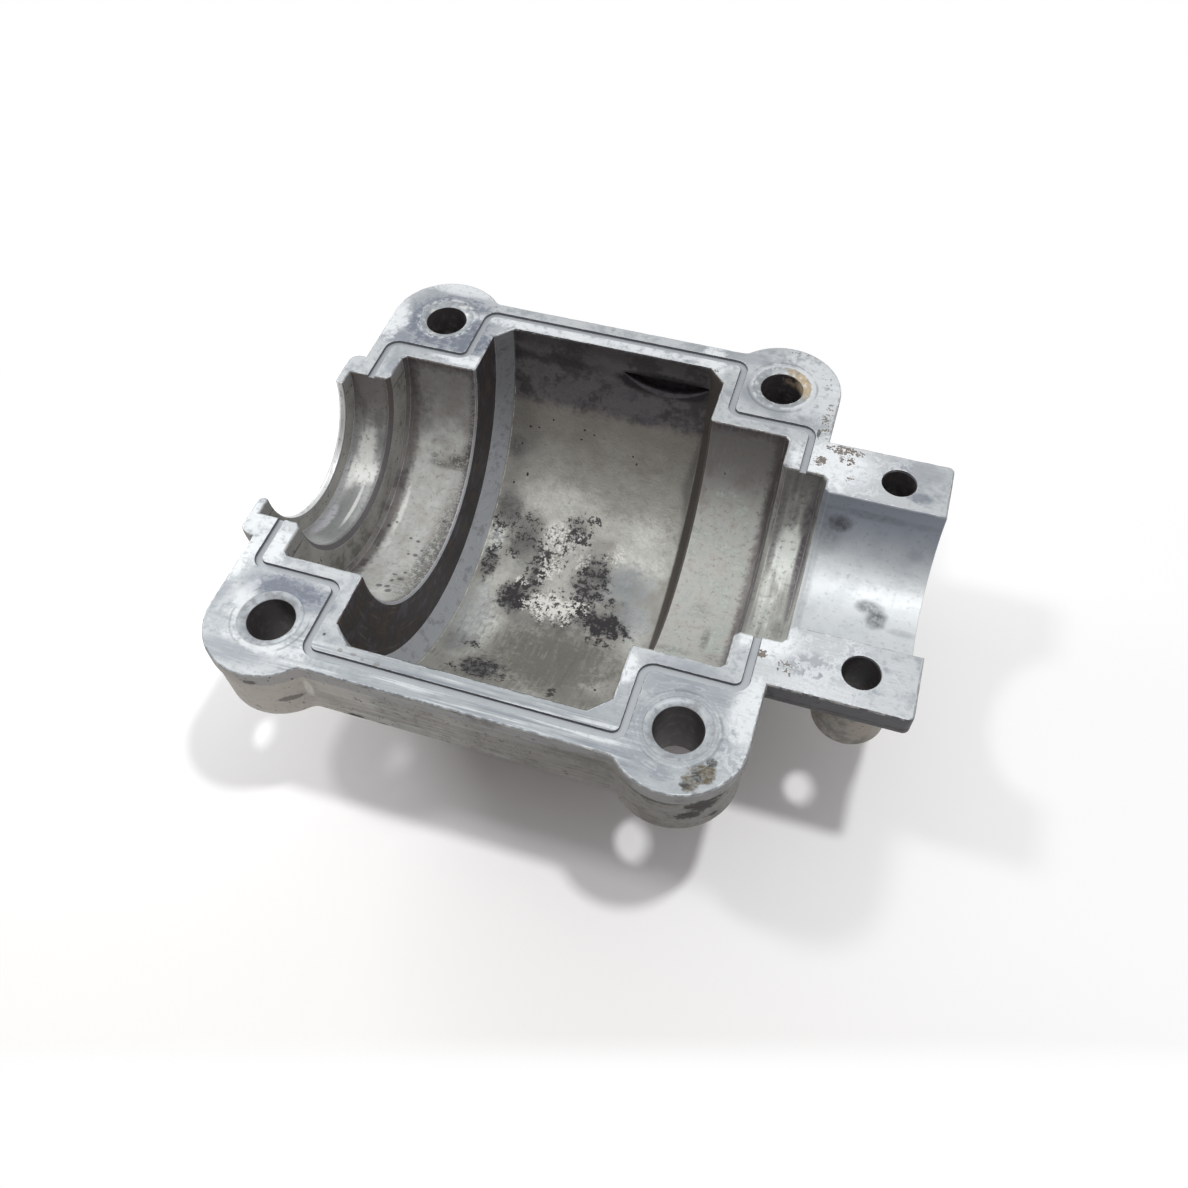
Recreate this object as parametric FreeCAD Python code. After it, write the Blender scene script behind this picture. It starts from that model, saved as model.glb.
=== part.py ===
import FreeCAD, Part
import math
import os

# Lower half of a small engine's crankcase, one die casting, millimetres.
# X is the crank axis, the split face lies in z = 0 and the casting hangs below it.

# Bolt bosses and flange
bolt_spacing_x = 47.15
bolt_spacing_y = 52.0
bolt_hole_d = 5.5
bolt_sink_d = 7.4
bolt_sink_depth = 0.35
boss_r = 7.6
boss_proud = 2.6
boss_root_r = 1.4
flange_height = 9.5
lip_height = 2.0
lip_step = 0.2
skirt_draft_deg = 1.5
skirt_edge = 0.4

# Crank chamber and the round belly outside it
chamber_r = 26.7
chamber_length = 32.0
chamber_chamfer = 2.2
belly_wall = 3.0
belly_corner_r = 4.0
belly_draft = 0.5

# Main bearing seats
seat_r = 17.5
seat_length = 10.35
seat_edge = 0.3
seat_corner = 0.5
seat_wall = 3.5

# Seal bores, the closed lip at the starter side and its collar
seal_r = 12.7
lip_bore_r = 10.3
lip_wall = 1.2
seal_mouth = 0.6
seal_wall = 3.3
collar_end_x = -33.2
collar_edge_r = 1.5
lip_edge = 0.4

# Clutch side seal land, half bore and the two ears
land_r = 12.5
land_end_x = 32.0
land_chamfer = 0.6
ear_bore_r = 10.0
ear_bore_wall = 3.2
ear_end_x = 46.6
ear_half_width = 18.25
ear_plate = 2.8
ear_corner_r = 0.8
ear_hole_x = 40.45
ear_hole_spacing = 27.76
ear_hole_d = 4.25
ear_boss_r = 4.15
ear_boss_height = 9.0
ear_boss_edge = 0.4

# Sealing groove round the opening
groove_width = 0.9
groove_depth = 0.4
groove_gap = 2.12
groove_end_gap = 2.6
groove_corner_r = 1.3

# Hollow in the far wall of the chamber
hollow_x = 8.05
hollow_length = 12.4
hollow_top = -3.5
hollow_height = 2.6
hollow_depth = 1.4

# Ribs outside
rib_x = 11.0
rib_width = 2.6
rib_height = 1.5
rib_draft = 0.5
foot_clearance = 0.3
keel_width = 3.0
keel_drop = 1.6
cast_edge = 1.0

# Places worked out from the sizes above
bolt_x = bolt_spacing_x / 2
bolt_y = bolt_spacing_y / 2
side_half_width = bolt_y + boss_r - boss_proud
chamber_x = chamber_length / 2
seat_x = chamber_x + seat_length
belly_r = chamber_r + belly_wall
belly_x = chamber_x + belly_wall
saddle_r = seat_r + seat_wall
saddle_x = seat_x + belly_wall
collar_r = seal_r + seal_wall
ear_tube_r = ear_bore_r + ear_bore_wall
foot_z = -(belly_r + foot_clearance)
reach = 2 * (ear_end_x + belly_r)

axis = FreeCAD.Vector(1, 0, 0)
down = FreeCAD.Vector(0, 0, -1)


def flat(u, v):
    return FreeCAD.Vector(u, v, 0)


def outline_face(corners):
    # A corner is (u, v) sharp, (u, v, radius) with a tangent arc or (u, v, leg, "bevel").
    count = len(corners)
    ends = []
    joins = []
    for i in range(count):
        corner = flat(*corners[i][:2])
        if len(corners[i]) == 2:
            ends.append((corner, corner))
            joins.append(None)
            continue
        size = corners[i][2]
        back = (flat(*corners[i - 1][:2]) - corner).normalize()
        ahead = (flat(*corners[(i + 1) % count][:2]) - corner).normalize()
        if len(corners[i]) == 4:
            start = corner + back * size
            stop = corner + ahead * size
            join = Part.makeLine(start, stop)
        else:
            half = back.getAngle(ahead) / 2
            start = corner + back * (size / math.tan(half))
            stop = corner + ahead * (size / math.tan(half))
            inward = (back + ahead).normalize()
            middle = corner + inward * (size / math.sin(half) - size)
            join = Part.Arc(start, middle, stop).toShape()
        ends.append((start, stop))
        joins.append(join)
    edges = []
    for i in range(count):
        if joins[i]:
            edges.append(joins[i])
        here = ends[i][1]
        there = ends[(i + 1) % count][0]
        if here.distanceToPoint(there) > 1e-6:
            edges.append(Part.makeLine(here, there))
    return Part.Face(Part.Wire(edges))


def turned(corners, angle):
    # Half a turn from +Y under the axis to -Y, or a whole turn.
    return outline_face(corners).revolve(flat(0, 0), -axis, angle)


def slab(corners, top, bottom):
    face = outline_face(corners)
    face.translate(FreeCAD.Vector(0, 0, top))
    return face.extrude(down * (top - bottom))


def four(x, y):
    return [(sx * x, sy * y) for sx in (-1, 1) for sy in (-1, 1)]


def flange_outline(inset, z):
    # Round corner bosses run tangent into the ends and meet the long sides in a root arc.
    r = boss_r - inset
    root = boss_root_r + inset
    side = side_half_width - inset
    lift = side + root - bolt_y
    run = math.sqrt((r + root) ** 2 - lift ** 2)
    root_x = bolt_x - run
    touch_x = bolt_x - run * r / (r + root)
    touch_y = bolt_y + lift * r / (r + root)
    bend = (math.atan2(touch_y - side - root, touch_x - root_x) - math.pi / 2) / 2
    bend_x = root_x + root * math.cos(bend)
    bend_y = side + root + root * math.sin(bend)
    crown = math.acos((touch_x - bolt_x) / r) / 2
    crown_x = bolt_x + r * math.cos(crown)
    crown_y = bolt_y + r * math.sin(crown)
    end = bolt_x + r

    def at(sx, sy, x, y):
        return FreeCAD.Vector(sx * x, sy * y, z)

    edges = []
    for sx in (-1, 1):
        for sy in (-1, 1):
            crest = Part.Arc(at(sx, sy, touch_x, touch_y), at(sx, sy, crown_x, crown_y),
                             at(sx, sy, end, bolt_y))
            dip = Part.Arc(at(sx, sy, root_x, side), at(sx, sy, bend_x, bend_y),
                           at(sx, sy, touch_x, touch_y))
            edges += [crest.toShape(), dip.toShape()]
        edges.append(Part.makeLine(at(sx, -1, end, bolt_y), at(sx, 1, end, bolt_y)))
        edges.append(Part.makeLine(at(-1, sx, root_x, side), at(1, sx, root_x, side)))
    return Part.Wire(Part.__sortEdges__(edges))


def make_flange():
    lip = Part.Face(flange_outline(0, 0)).extrude(down * lip_height)
    drop = flange_height - lip_height
    lean = lip_step + drop * math.tan(math.radians(skirt_draft_deg))
    skirt = Part.makeLoft([flange_outline(lip_step, -lip_height), flange_outline(lean, -flange_height)],
                          True, True)
    rim = [edge for edge in skirt.Edges if edge.BoundBox.ZMax < -flange_height + 0.01]
    return lip.fuse(skirt.makeChamfer(skirt_edge, rim))


def make_belly():
    # Collar, saddle, round belly, saddle and ear tube, turned in one profile.
    ear_wall_x = land_end_x + belly_wall
    return turned([(collar_end_x, 0),
                   (collar_end_x, collar_r, collar_edge_r),
                   (-saddle_x, collar_r),
                   (-saddle_x + belly_draft, saddle_r, cast_edge, "bevel"),
                   (-belly_x - belly_draft, saddle_r, cast_edge, "bevel"),
                   (-belly_x, belly_r, belly_corner_r),
                   (belly_x, belly_r, belly_corner_r),
                   (belly_x + belly_draft, saddle_r, cast_edge, "bevel"),
                   (saddle_x - belly_draft, saddle_r, cast_edge, "bevel"),
                   (saddle_x, collar_r),
                   (ear_wall_x, collar_r, cast_edge, "bevel"),
                   (ear_wall_x, ear_tube_r),
                   (ear_end_x, ear_tube_r, ear_corner_r, "bevel"),
                   (ear_end_x, 0)], 180)


def make_ribs():
    # Two hoops round the belly stop under the flange and are cut level as feet.
    rib_r = belly_r + rib_height
    under_flange = Part.makeBox(reach, reach, flange_height - skirt_edge,
                                FreeCAD.Vector(-reach / 2, -reach / 2, skirt_edge - flange_height))
    ribs = []
    for x in (-rib_x, rib_x):
        hoop = turned([(x - rib_width / 2 - rib_draft, seat_r),
                       (x - rib_width / 2, rib_r),
                       (x + rib_width / 2, rib_r),
                       (x + rib_width / 2 + rib_draft, seat_r)], 180)
        ribs.append(hoop.cut(under_flange))
    return ribs


def make_keels():
    # A web under each bearing seat ties the saddle to the belly.
    keels = []
    for side in (-1, 1):
        inner = chamber_x + chamber_chamfer
        web = Part.makePolygon([FreeCAD.Vector(side * inner, 0, -seat_r - seat_wall / 2),
                                FreeCAD.Vector(side * saddle_x, 0, -seat_r - seat_wall / 2),
                                FreeCAD.Vector(side * (saddle_x - cast_edge), 0, -saddle_r - keel_drop),
                                FreeCAD.Vector(side * (belly_x - belly_wall / 2), 0, -belly_r + belly_wall / 2),
                                FreeCAD.Vector(side * inner, 0, -belly_r + belly_wall),
                                FreeCAD.Vector(side * inner, 0, -seat_r - seat_wall / 2)])
        face = Part.Face(web)
        face.translate(FreeCAD.Vector(0, -keel_width / 2, 0))
        keels.append(face.extrude(FreeCAD.Vector(0, keel_width, 0)))
    return keels


def make_ears():
    w = ear_half_width
    plate = slab([(bolt_x, -w), (ear_end_x, -w, ear_corner_r),
                  (ear_end_x, w, ear_corner_r), (bolt_x, w)], 0, -ear_plate)
    bosses = []
    for side in (-1, 1):
        y = side * ear_hole_spacing / 2
        boss = Part.makeCylinder(ear_boss_r, ear_boss_height, FreeCAD.Vector(ear_hole_x, y, 0), down)
        rim = [edge for edge in boss.Edges if edge.BoundBox.ZMax < -ear_boss_height + 0.01]
        bosses.append(boss.makeChamfer(ear_boss_edge, rim))
    return plate.fuse(bosses)


def make_bores():
    # One turned profile: sealed lip, seal bore, bearing seat, chamber, seat, land, half bore.
    lip_x = collar_end_x + lip_wall
    return turned([(-reach, 0),
                   (-reach, lip_bore_r + lip_edge),
                   (collar_end_x, lip_bore_r + lip_edge),
                   (collar_end_x + lip_edge, lip_bore_r),
                   (lip_x - lip_edge / 2, lip_bore_r),
                   (lip_x, lip_bore_r + lip_edge / 2),
                   (lip_x, seal_r),
                   (-seat_x - seal_mouth, seal_r),
                   (-seat_x, seal_r + seal_mouth),
                   (-seat_x, seat_r, seat_corner, "bevel"),
                   (-chamber_x - seat_edge, seat_r),
                   (-chamber_x, seat_r + seat_edge),
                   (-chamber_x, chamber_r, chamber_chamfer, "bevel"),
                   (chamber_x, chamber_r, chamber_chamfer, "bevel"),
                   (chamber_x, seat_r + seat_edge),
                   (chamber_x + seat_edge, seat_r),
                   (seat_x, seat_r, seat_corner, "bevel"),
                   (seat_x, land_r + seal_mouth),
                   (seat_x + seal_mouth, land_r),
                   (land_end_x, land_r, land_chamfer, "bevel"),
                   (land_end_x, ear_bore_r + land_chamfer),
                   (land_end_x + land_chamfer, ear_bore_r),
                   (reach, ear_bore_r),
                   (reach, 0)], 360)


def make_bolt_holes():
    cuts = []
    for x, y in four(bolt_x, bolt_y):
        top = FreeCAD.Vector(x, y, 0)
        cuts.append(Part.makeCylinder(bolt_hole_d / 2, 2 * flange_height, top, down))
        cuts.append(Part.makeCone(bolt_sink_d / 2, bolt_hole_d / 2, bolt_sink_depth, top, down))
    for side in (-1, 1):
        top = FreeCAD.Vector(ear_hole_x, side * ear_hole_spacing / 2, 0)
        cuts.append(Part.makeCylinder(ear_hole_d / 2, 2 * ear_boss_height, top, down))
    return cuts


def groove_area(shift):
    # Cross-shaped field round the chamber and seats, shifted outwards by part of the groove.
    long_x = seat_x + groove_end_gap + shift
    short_x = chamber_x + groove_gap + shift
    long_y = chamber_r + groove_gap + shift
    short_y = seat_r + groove_gap + shift
    outer = groove_corner_r + shift
    inner = groove_corner_r - shift
    return outline_face([(-long_x, -short_y, outer), (-short_x, -short_y, inner),
                         (-short_x, -long_y, outer), (short_x, -long_y, outer),
                         (short_x, -short_y, inner), (long_x, -short_y, outer),
                         (long_x, short_y, outer), (short_x, short_y, inner),
                         (short_x, long_y, outer), (-short_x, long_y, outer),
                         (-short_x, short_y, inner), (-long_x, short_y, outer)])


def make_groove():
    ring = groove_area(groove_width / 2).cut(groove_area(-groove_width / 2))
    return ring.extrude(down * groove_depth)


def make_hollow():
    # A shallow hollow with a straight top and a bowed floor, sunk into the curved far wall.
    half = hollow_length / 2
    wall_y = math.sqrt(chamber_r ** 2 - hollow_top ** 2)
    left = FreeCAD.Vector(hollow_x - half, seat_r, hollow_top)
    right = FreeCAD.Vector(hollow_x + half, seat_r, hollow_top)
    low = FreeCAD.Vector(hollow_x, seat_r, hollow_top - hollow_height)
    outline = Part.Wire([Part.Arc(left, low, right).toShape(), Part.makeLine(right, left)])
    return Part.Face(outline).extrude(FreeCAD.Vector(0, wall_y + hollow_depth - seat_r, 0))


casting = make_flange().fuse([make_belly(), make_ears()] + make_ribs() + make_keels())
casting = casting.removeSplitter()
casting = casting.cut([make_bores(), make_groove(), make_hollow()] + make_bolt_holes())
ground = Part.makeBox(reach, reach, reach, FreeCAD.Vector(-reach / 2, -reach / 2, foot_z - reach))
casting = casting.cut(ground).removeSplitter()
print("solids", len(casting.Solids), "valid", casting.isValid(), "volume", round(casting.Volume))

os.makedirs("parts", exist_ok=True)
casting.exportStep("parts/lower_crankcase.step")
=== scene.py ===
import bpy
import bmesh
import math
from mathutils import Matrix, Vector, noise


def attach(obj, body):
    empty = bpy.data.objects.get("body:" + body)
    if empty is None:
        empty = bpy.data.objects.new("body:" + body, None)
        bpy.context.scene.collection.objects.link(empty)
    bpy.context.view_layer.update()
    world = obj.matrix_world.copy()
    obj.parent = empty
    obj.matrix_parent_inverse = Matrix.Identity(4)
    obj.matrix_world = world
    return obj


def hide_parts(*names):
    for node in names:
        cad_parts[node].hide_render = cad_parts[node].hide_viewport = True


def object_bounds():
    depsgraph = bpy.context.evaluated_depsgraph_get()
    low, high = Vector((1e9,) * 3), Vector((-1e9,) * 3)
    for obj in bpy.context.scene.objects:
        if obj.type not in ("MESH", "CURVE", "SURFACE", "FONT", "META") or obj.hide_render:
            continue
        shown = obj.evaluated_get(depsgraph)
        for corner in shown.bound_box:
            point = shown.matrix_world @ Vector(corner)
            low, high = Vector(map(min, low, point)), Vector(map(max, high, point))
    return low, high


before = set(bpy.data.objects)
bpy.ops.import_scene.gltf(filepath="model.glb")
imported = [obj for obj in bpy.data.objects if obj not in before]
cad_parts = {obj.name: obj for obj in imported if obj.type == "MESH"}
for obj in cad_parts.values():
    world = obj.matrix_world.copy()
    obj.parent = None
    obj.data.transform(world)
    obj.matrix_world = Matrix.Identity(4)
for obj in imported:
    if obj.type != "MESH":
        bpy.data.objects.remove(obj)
cadLow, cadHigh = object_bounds()
scene = bpy.context.scene
mm = 0.001


# Shader maths as Python expressions

class Field:
    # a number socket that takes + - * and abs, with numbers and other fields
    def __init__(self, shade, socket):
        self.shade = shade
        self.socket = socket

    def __add__(self, other):
        return self.shade.calc("ADD", self, other)

    def __radd__(self, other):
        return self.shade.calc("ADD", other, self)

    def __sub__(self, other):
        return self.shade.calc("SUBTRACT", self, other)

    def __rsub__(self, other):
        return self.shade.calc("SUBTRACT", other, self)

    def __mul__(self, other):
        return self.shade.calc("MULTIPLY", self, other)

    def __rmul__(self, other):
        return self.shade.calc("MULTIPLY", other, self)

    def __abs__(self):
        return self.shade.calc("ABSOLUTE", self)


def feed(tree, socket, value):
    # links a socket to a field or another socket, or gives it a number or a colour of its own
    if isinstance(value, Field):
        value = value.socket
    if isinstance(value, bpy.types.NodeSocket):
        tree.links.new(value, socket)
    elif socket.type == "RGBA":
        socket.default_value = (*value, 1.0)
    else:
        socket.default_value = value


def addNode(tree, kind, settings=None, sockets=None):
    made = tree.nodes.new(kind)
    for key, value in (settings or {}).items():
        setattr(made, key, value)
    for key, value in (sockets or {}).items():
        feed(tree, made.inputs[key], value)
    return made


def ink(red, green, blue):
    # an sRGB colour from 0 to 255 as the linear colour that the shader takes
    def linear(v):
        v = v / 255
        return v / 12.92 if v <= 0.04045 else ((v + 0.055) / 1.055) ** 2.4
    return (linear(red), linear(green), linear(blue))


class Shade:
    # one material, built up in layers from a base colour, a metal share and a roughness
    def __init__(self, name, base, metal, rough):
        self.material = bpy.data.materials.new(name)
        self.material.use_nodes = True
        self.tree = self.material.node_tree
        self.tree.nodes.clear()
        self.out = self.node("ShaderNodeOutputMaterial")
        self.body = self.node("ShaderNodeBsdfPrincipled")
        feed(self.tree, self.out.inputs[0], self.body.outputs[0])
        self.colour = ink(*base)
        self.metal = metal
        self.rough = rough
        self.height = 0.0
        place = self.node("ShaderNodeTexCoord").outputs["Object"]
        self.place = self.node("ShaderNodeVectorMath", {"operation": "SCALE"},
                               {0: place, "Scale": 1 / mm}).outputs[0]
        apart = self.node("ShaderNodeSeparateXYZ", {}, {0: self.place})
        self.x, self.y, self.z = (Field(self, socket) for socket in apart.outputs)

    def node(self, kind, settings=None, sockets=None):
        return addNode(self.tree, kind, settings, sockets)

    def calc(self, operation, *values):
        made = self.node("ShaderNodeMath", {"operation": operation}, dict(enumerate(values)))
        return Field(self, made.outputs[0])

    def step(self, value, low, high):
        # 0 at low, 1 at high, smooth between; high may be the smaller
        made = self.node("ShaderNodeMapRange", {"interpolation_type": "SMOOTHSTEP"},
                         {"Value": value, "From Min": low, "From Max": high})
        return Field(self, made.outputs[0])

    def most(self, masks):
        whole = masks[0]
        for mask in masks[1:]:
            whole = self.calc("MAXIMUM", whole, mask)
        return whole

    def vector(self, *fields):
        return self.node("ShaderNodeCombineXYZ", {}, dict(enumerate(fields))).outputs[0]

    def span(self, u, v):
        return self.calc("SQRT", u * u + v * v)

    def turn(self):
        # degrees round the crank axis, 0 straight down and 90 at the far side
        return self.calc("ARCTAN2", self.y, 0 - self.z) * math.degrees(1)

    def reach(self):
        # millimetres from the crank axis
        return self.span(self.y, self.z)

    def noise(self, size, detail=3.0, rough=0.5, shift=(0, 0, 0), stretch=(1, 1, 1), place=None):
        # size is the width of one blotch in millimetres
        scaled = self.node("ShaderNodeVectorMath", {"operation": "MULTIPLY_ADD"},
                           {0: place or self.place, 1: [1 / size / s for s in stretch], 2: shift})
        made = self.node("ShaderNodeTexNoise", {},
                         {"Vector": scaled.outputs[0], "Scale": 1.0, "Detail": detail, "Roughness": rough})
        return Field(self, made.outputs["Fac"])

    def patch(self, u, v, spot, ragged, soft=0.3):
        # 1 inside an ellipse (centre u, centre v, half width, half height, strength) with a ragged edge
        middleU, middleV, halfU, halfV, *strength = spot
        du = (u - middleU) * (1 / halfU)
        dv = (v - middleV) * (1 / halfV)
        inside = self.step(du * du + dv * dv + ragged, 1 + soft, 1 - soft)
        return inside * strength[0] if strength else inside

    def patches(self, u, v, spots, ragged, soft=0.3):
        return self.most([self.patch(u, v, spot, ragged, soft) for spot in spots])

    def blend(self, factor, first, second):
        # by number, because a Mix node has several sockets of one name: 6 and 7 are its colours
        made = self.node("ShaderNodeMix", {"data_type": "RGBA"}, {0: factor, 6: first, 7: second})
        return made.outputs[2]

    def layer(self, mask, colour=None, metal=None, rough=None):
        # lays a stain, a wear mark or a crust over what is there, and in some finishes a painted shade or a
        # painted highlight
        if colour is not None:
            self.colour = self.blend(mask, self.colour, ink(*colour))
        if metal is not None:
            self.metal = self.metal + (metal - self.metal) * mask
        if rough is not None:
            self.rough = self.rough + (rough - self.rough) * mask

    def rim(self):
        # 1 on the rounded edges of the casting
        return Field(self, self.node("ShaderNodeAttribute", {"attribute_name": "rim"}).outputs["Fac"])

    def done(self):
        # height is the fine relief in millimetres
        for name, value in (("Base Color", self.colour), ("Metallic", self.metal), ("Roughness", self.rough)):
            feed(self.tree, self.body.inputs[name], value)
        if isinstance(self.height, Field):
            bump = self.node("ShaderNodeBump", {}, {"Height": self.height, "Distance": mm})
            feed(self.tree, self.body.inputs["Normal"], bump.outputs[0])
        return self.material


# The casting's finishes. Lengths are in millimetres, angles in degrees round the crank axis.
# A pair is where a finish starts and where it is full, and a spot is as in Shade.patch.

boltPlace = (23.575, 26.0)
earPlace = (40.45, 13.88)
grooveDepth = 0.4

splitLook = {
    "base": (180, 184, 186), "cloud": (140, 146, 151), "nearShadeTone": (140, 146, 149),
    "stain": (106, 112, 124), "pale": (214, 218, 220), "fleck": (104, 95, 86), "olive": (84, 76, 56),
    "line": (102, 107, 112), "spot": (50, 48, 46),
    "nearFrom": (-19, -28), "nearAlong": (-22, -8), "stripFrom": (-26.9, -27.6), "stripAlong": (22, 18),
    "crustMiddle": 35, "crustHalf": (9.0, 4.0),
    "scuffReach": (7.5, 4.5), "scuffAlong": (4, 10), "scuffFrom": (-14, -18),
    "outerRing": 4.5, "innerRing": 3.7, "farRing": (4.3, 3.9), "farFrom": (4, 10),
    "stains": [(-23.6, 25.4, 6.4, 5.4, 1.0), (-19.0, 22.3, 3.2, 2.6, 1.0), (-28.5, 20.8, 3.4, 1.4, 0.7),
               (23.0, 24.3, 4.8, 3.0, 0.4), (19.6, 30.2, 5.5, 1.0, 0.35), (27.0, 20.6, 3.0, 1.2, 0.35),
               (-23.8, -22.0, 4.8, 1.7, 1.0), (-20.0, -22.6, 2.8, 1.6, 0.7), (-31.5, -24.0, 1.6, 2.2, 0.5),
               (-26.5, -31.2, 4.5, 1.2, 0.5), (-32.3, -11.5, 1.2, 2.0, 0.2),
               (23.0, -20.6, 5.5, 2.6, 0.5), (28.6, -26.5, 1.2, 0.7, 0.5), (23.0, -31.4, 1.2, 0.8, 0.5),
               (20.0, -28.6, 2.0, 4.0, 0.4), (34.4, 12.4, 1.2, 0.9, 0.8), (42.5, 16.2, 3.0, 1.6, 0.4),
               (-26.8, 15.5, 1.0, 1.6, 0.5), (26.2, 12.6, 0.9, 0.6, 0.9), (43.2, 12.2, 1.4, 0.8, 0.8),
               (-2.0, 31.6, 12.0, 0.7, 0.3), (34.5, -14.6, 2.6, 1.4, 0.4)],
    "palePatches": [(-31.6, -19.0, 1.6, 3.6, 0.9), (-31.4, -14.0, 2.4, 2.6, 0.7),
                    (-30.3, 24.0, 1.6, 3.6, 0.8),
                    (-28.5, -17.0, 2.5, 2.6, 0.7), (15.5, -20.6, 2.2, 1.8, 0.9), (-24.0, 32.4, 6.0, 1.2, 0.6),
                    (30.4, -12.5, 2.8, 2.4, 1.0), (32.4, 14.6, 4.5, 3.4, 1.0), (26.5, 27.0, 5.0, 5.0, 0.5),
                    (-5.0, 27.6, 18.0, 0.9, 0.7), (13.6, 27.5, 1.8, 4.0, 0.8), (-22.0, -29.0, 5.0, 1.2, 0.6),
                    (-18.0, 19.0, 4.0, 1.0, 0.8), (-27.6, -24.6, 1.0, 3.0, 0.5), (30.0, -22.0, 1.6, 4.0, 0.7),
                    (36.5, -17.2, 4.5, 0.9, 0.3)],
    "flecks": [(30.6, 14.7, 1.0, 1.0, 1.1), (33.3, 17.2, 2.8, 0.9, 1.0), (33.9, 15.6, 1.2, 1.2, 0.9),
               (34.4, 12.8, 1.0, 0.8, 0.7), (30.2, 21.5, 1.0, 4.6, 0.75), (29.6, 28.6, 2.6, 1.2, 0.6),
               (29.8, -14.6, 0.7, 0.6, 1.1), (32.8, -15.6, 1.8, 1.3, 0.75), (11.0, 26.4, 6.0, 0.3, 1.0),
               (24.5, 32.8, 3.0, 0.4, 0.7)],
    "darkSpots": [(27.8, -28.8, 0.6, 0.5), (26.6, -30.6, 0.5, 0.5), (25.8, -32.0, 0.6, 0.3),
                  (-16.8, -26.2, 0.2, 0.2), (26.9, -31.0, 0.5, 0.3), (29.6, 19.2, 0.25, 0.7)],
    "oliveSpots": [(27.1, -30.2, 1.2, 1.1, 1.0), (26.2, -31.6, 0.9, 1.2, 0.9)],
    "pinPits": [(-14.2, -27.6, 0.3, 0.25, 0.9), (-12.6, -27.7, 0.35, 0.2, 0.8), (-11.4, -28.0, 0.2, 0.2, 0.9),
                (-9.6, -28.1, 0.35, 0.3, 0.9), (-21.6, -17.4, 0.25, 0.2, 0.8), (14.6, -19.4, 0.25, 0.2, 0.7)],
}


def splitFaceMetal():
    look = splitLook
    shade = Shade("splitFaceMetal", look["base"], 0.35, 0.5)
    x, y = shade.x, shade.y
    cloud = shade.noise(4.2, 3.0, 0.6)
    grain = shade.noise(0.9, 3.0, 0.65, shift=(3, 7, 1))
    fine = shade.noise(0.26, 1.0, 0.5, shift=(9, 2, 4))
    lines = shade.noise(0.24, 1.0, 0.5, shift=(1, 5, 2), stretch=(11, 1, 1))
    ragged = (grain - 0.5) * 3.6 + (cloud - 0.5) * 2.4
    shade.layer(shade.step(cloud + (grain - 0.5) * 0.5, 0.42, 0.68) * 0.75, look["cloud"])
    # painted shade: the near part of the split face is given a darker tone
    nearPaintedShade = shade.step(y + (cloud - 0.5) * 14, *look["nearFrom"]) * shade.step(x, *look["nearAlong"])
    shade.layer(nearPaintedShade * 0.75, look["nearShadeTone"])
    streak = shade.noise(0.45, 2.0, 0.5, shift=(2, 2, 7), stretch=(26, 1, 1))
    strip = shade.step(y, *look["stripFrom"]) * shade.step(abs(x), *look["stripAlong"])
    shade.layer(strip * shade.step(streak, 0.5, 0.66) * 0.6, look["pale"])
    shade.layer(strip * shade.step(streak, 0.48, 0.34) * 0.5, look["stain"])
    shade.layer(shade.patches(x, y, look["stains"], ragged, 0.8), look["stain"], 0.3, 0.55)
    shade.layer(shade.patches(x, y, look["palePatches"], ragged, 0.8), look["pale"], 0.2, 0.6)
    crust = shade.step(abs(x - look["crustMiddle"]) + (grain - 0.5) * 12, *look["crustHalf"])
    shade.layer(crust * shade.step(grain + (cloud - 0.5) * 0.6, 0.45, 0.6) * 0.7, look["pale"], 0.1, 0.7)
    flecks = shade.patches(x, y, look["flecks"], (grain - 0.5) * 2.0, 0.9)
    shade.layer(shade.step(grain * 0.7 + fine * 0.3 + flecks * 0.22, 0.67, 0.72), look["fleck"], 0.1, 0.7)
    shade.layer(shade.patches(x, y, look["oliveSpots"], ragged, 0.5), look["olive"], 0.0, 0.7)
    shade.layer(shade.patches(x, y, look["darkSpots"], ragged * 0.3, 0.5) * 0.9, look["spot"], 0.0, 0.7)
    shade.layer(shade.patches(x, y, look["pinPits"], ragged * 0.2, 0.5) * 0.6, look["fleck"], 0.0, 0.7)
    shade.layer(shade.step(lines + (grain - 0.5) * 0.8, 0.56, 0.78) * 0.2, look["cloud"])
    shade.layer(shade.step(grain + (fine - 0.5) * 0.3, 0.5, 0.68) * 0.28, look["cloud"])
    shade.layer(shade.step(lines + (cloud - 0.5) * 0.6, 0.42, 0.26) * 0.12, look["pale"])
    ring = shade.span(abs(x) - boltPlace[0], abs(y) - boltPlace[1]) + (grain - 0.5) * 0.25
    # the scuffs round the near bolt are wear marks; the darker ones reuse the near shade tone
    scuffs = shade.noise(0.35, 2.0, 0.5, place=shade.vector(ring, cloud * 4, 0.0))
    near = shade.step(ring, *look["scuffReach"]) * shade.step(x, *look["scuffAlong"])
    near = near * shade.step(y, *look["scuffFrom"])
    shade.layer(near * shade.step(scuffs, 0.5, 0.66) * 0.6, look["nearShadeTone"])
    shade.layer(near * shade.step(scuffs, 0.44, 0.3) * 0.25, look["pale"])
    thin = shade.step(abs(ring - look["outerRing"]), 0.22, 0.05) * shade.step(cloud, 0.38, 0.56)
    shade.layer(thin * 0.5, look["line"])
    shade.layer(shade.step(abs(ring - look["innerRing"]), 0.16, 0.05) * 0.4, look["line"])
    farRing = shade.step(ring, *look["farRing"]) * shade.step(y, *look["farFrom"])
    shade.layer(farRing * shade.step(grain, 0.4, 0.6) * 0.6, look["pale"])
    worn = shade.step(grain + (cloud - 0.5) * 0.5, 0.4, 0.6)
    shade.layer(shade.rim() * worn * 0.4, look["pale"], 0.35, 0.45)
    shade.layer(shade.rim() * (1 - worn) * 0.45, look["line"], 0.3, 0.5)
    shade.height = grain * 0.05 + fine * 0.012
    return shade.done()


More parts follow.
